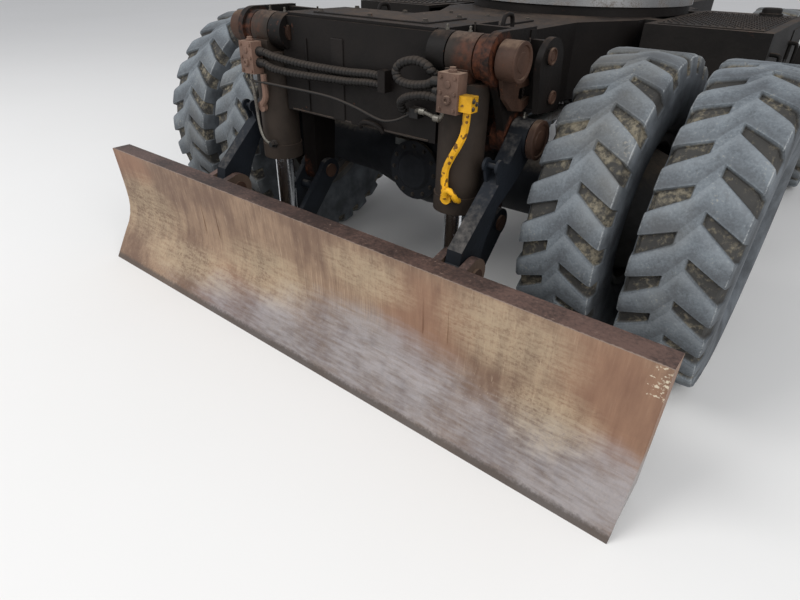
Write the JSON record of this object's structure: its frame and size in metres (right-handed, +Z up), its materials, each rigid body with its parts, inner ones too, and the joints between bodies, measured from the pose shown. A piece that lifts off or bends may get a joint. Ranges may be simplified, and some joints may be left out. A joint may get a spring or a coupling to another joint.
{
  "type": "wheeled excavator undercarriage with dozer blade and twin wheels",
  "caption": "Lower carriage of a wheeled excavator: frame, fixed and steered axles on twin tyres, slewing ring and a wide dozer blade lifted on parallel links by upright cylinders.",
  "frame": {"origin": "on the ground, midway between the blade's edge and the rear of the steered tyres, on the machine's centre line", "axes": "+X across the machine, to the right as seen from in front of the blade towards the machine; +Y from the blade to the steering axle; +Z up"},
  "size_m": [2.552, 4.1, 1.25],
  "materials": {
    "tyre_rubber": "dusty",
    "rim_grey": "worn",
    "axle_paint": "dusty",
    "hose_rubber": "dusty",
    "yellow_paint": "chipped",
    "dusty_steel": "dusty",
    "rusty_blade": "rusty",
    "worn_edge": "worn",
    "chrome": "polished",
    "machined_steel": "greasy",
    "link_paint": "worn",
    "box_paint": "dusty",
    "frame_paint": "dusty"
  },
  "bodies": {
    "root": {"main_frame": "frame_paint", "dozer_frame": "frame_paint", "frame_pins": "dusty_steel", "slew_base": "machined_steel", "swivel_joint": "machined_steel", "blade_axle": "axle_paint", "steer_axle": "axle_paint", "gearbox": "axle_paint", "propshafts": "machined_steel", "side_box_left": "box_paint", "side_box_right": "box_paint", "steering_cylinder": "frame_paint"},
    "slew_ring": {"slew_race": "machined_steel"},
    "lower_link": {"lower_link": "link_paint"},
    "blade": {"blade": "rusty_blade", "cutting_edge": "worn_edge", "blade_pins": "dusty_steel"},
    "upper_link_left": {"upper_link_left": "link_paint"},
    "barrel_left": {"barrel_left": "frame_paint", "valve_left": "dusty_steel", "feed_tube_left": "dusty_steel", "hoses_left": "hose_rubber"},
    "rod_left": {"rod_left": "chrome"},
    "knuckle_left": {"knuckle_left": "link_paint"},
    "wheel_blade_left": {"tyres_blade_left": "tyre_rubber", "rims_blade_left": "rim_grey", "hub_blade_left": "axle_paint"},
    "wheel_steer_left": {"tyres_steer_left": "tyre_rubber", "rims_steer_left": "rim_grey", "hub_steer_left": "axle_paint"},
    "upper_link_right": {"upper_link_right": "link_paint"},
    "barrel_right": {"barrel_right": "frame_paint", "valve_right": "dusty_steel", "feed_tube_right": "yellow_paint", "hoses_right": "hose_rubber"},
    "rod_right": {"rod_right": "chrome"},
    "knuckle_right": {"knuckle_right": "link_paint"},
    "wheel_blade_right": {"tyres_blade_right": "tyre_rubber", "rims_blade_right": "rim_grey", "hub_blade_right": "axle_paint"},
    "wheel_steer_right": {"tyres_steer_right": "tyre_rubber", "rims_steer_right": "rim_grey", "hub_steer_right": "axle_paint"},
    "steering_rod": {"steering_rod": "chrome"}
  },
  "joints": [
    {"name": "slew", "type": "hinge", "parent": "root", "child": "slew_ring", "pos_m": [0, 0.17, 1.2], "axis": [0, 0, 1], "continuous": true},
    {"name": "blade_lift", "type": "hinge", "parent": "root", "child": "lower_link", "pos_m": [0, -1.41, 0.483], "axis": [-1, 0, 0], "range_deg": [-10, 48]},
    {"name": "blade_level", "type": "hinge", "parent": "lower_link", "child": "blade", "pos_m": [0, -1.735, 0.133], "axis": [-1, 0, 0], "range_deg": [-48, 10]},
    {"name": "upper_link_swing_left", "type": "hinge", "parent": "root", "child": "upper_link_left", "pos_m": [-0.573, -1.47, 0.82], "axis": [-1, 0, 0], "range_deg": [-10, 48]},
    {"name": "barrel_swing_left", "type": "hinge", "parent": "root", "child": "barrel_left", "pos_m": [-0.432, -1.61, 1.06], "axis": [-1, 0, 0], "range_deg": [-2.1, 9.9]},
    {"name": "rod_slide_left", "type": "slide", "parent": "barrel_left", "child": "rod_left", "axis": [0, 0, -1], "range_m": [-0.207, 0.0435]},
    {"name": "upper_link_swing_right", "type": "hinge", "parent": "root", "child": "upper_link_right", "pos_m": [0.573, -1.47, 0.82], "axis": [-1, 0, 0], "range_deg": [-10, 48]},
    {"name": "barrel_swing_right", "type": "hinge", "parent": "root", "child": "barrel_right", "pos_m": [0.432, -1.61, 1.06], "axis": [-1, 0, 0], "range_deg": [-2.1, 9.9]},
    {"name": "rod_slide_right", "type": "slide", "parent": "barrel_right", "child": "rod_right", "axis": [0, 0, -1], "range_m": [-0.207, 0.0435]},
    {"name": "steer_left", "type": "hinge", "parent": "root", "child": "knuckle_left", "pos_m": [-0.585, 1.52, 0.53], "axis": [0, 0, 1], "range_deg": [-30, 30]},
    {"name": "steer_right", "type": "hinge", "parent": "root", "child": "knuckle_right", "pos_m": [0.585, 1.52, 0.53], "axis": [0, 0, 1], "range_deg": [-30, 30]},
    {"name": "steering_rod_slide", "type": "slide", "parent": "root", "child": "steering_rod", "axis": [1, 0, 0], "range_m": [-0.0857, 0.0857]},
    {"name": "wheel_blade_left", "type": "hinge", "parent": "root", "child": "wheel_blade_left", "pos_m": [-0.9685, -1.08, 0.53], "axis": [1, 0, 0], "continuous": true},
    {"name": "wheel_blade_right", "type": "hinge", "parent": "root", "child": "wheel_blade_right", "pos_m": [0.9685, -1.08, 0.53], "axis": [1, 0, 0], "continuous": true},
    {"name": "wheel_steer_left", "type": "hinge", "parent": "knuckle_left", "child": "wheel_steer_left", "pos_m": [-0.9685, 1.52, 0.53], "axis": [1, 0, 0], "continuous": true},
    {"name": "wheel_steer_right", "type": "hinge", "parent": "knuckle_right", "child": "wheel_steer_right", "pos_m": [0.9685, 1.52, 0.53], "axis": [1, 0, 0], "continuous": true}
  ],
  "couplings": [
    {"joint": "blade_level", "follows": "blade_lift", "ratio": -1},
    {"joint": "upper_link_swing_left", "follows": "blade_lift", "ratio": 1},
    {"joint": "barrel_swing_left", "follows": "blade_lift", "ratio": 0.205},
    {"joint": "rod_slide_left", "follows": "blade_lift", "m_per_rad": -0.24637},
    {"joint": "upper_link_swing_right", "follows": "blade_lift", "ratio": 1},
    {"joint": "barrel_swing_right", "follows": "blade_lift", "ratio": 0.205},
    {"joint": "rod_slide_right", "follows": "blade_lift", "m_per_rad": -0.24637},
    {"joint": "steer_right", "follows": "steer_left", "ratio": 1},
    {"joint": "steering_rod_slide", "follows": "steer_left", "m_per_rad": -0.1635}
  ]
}
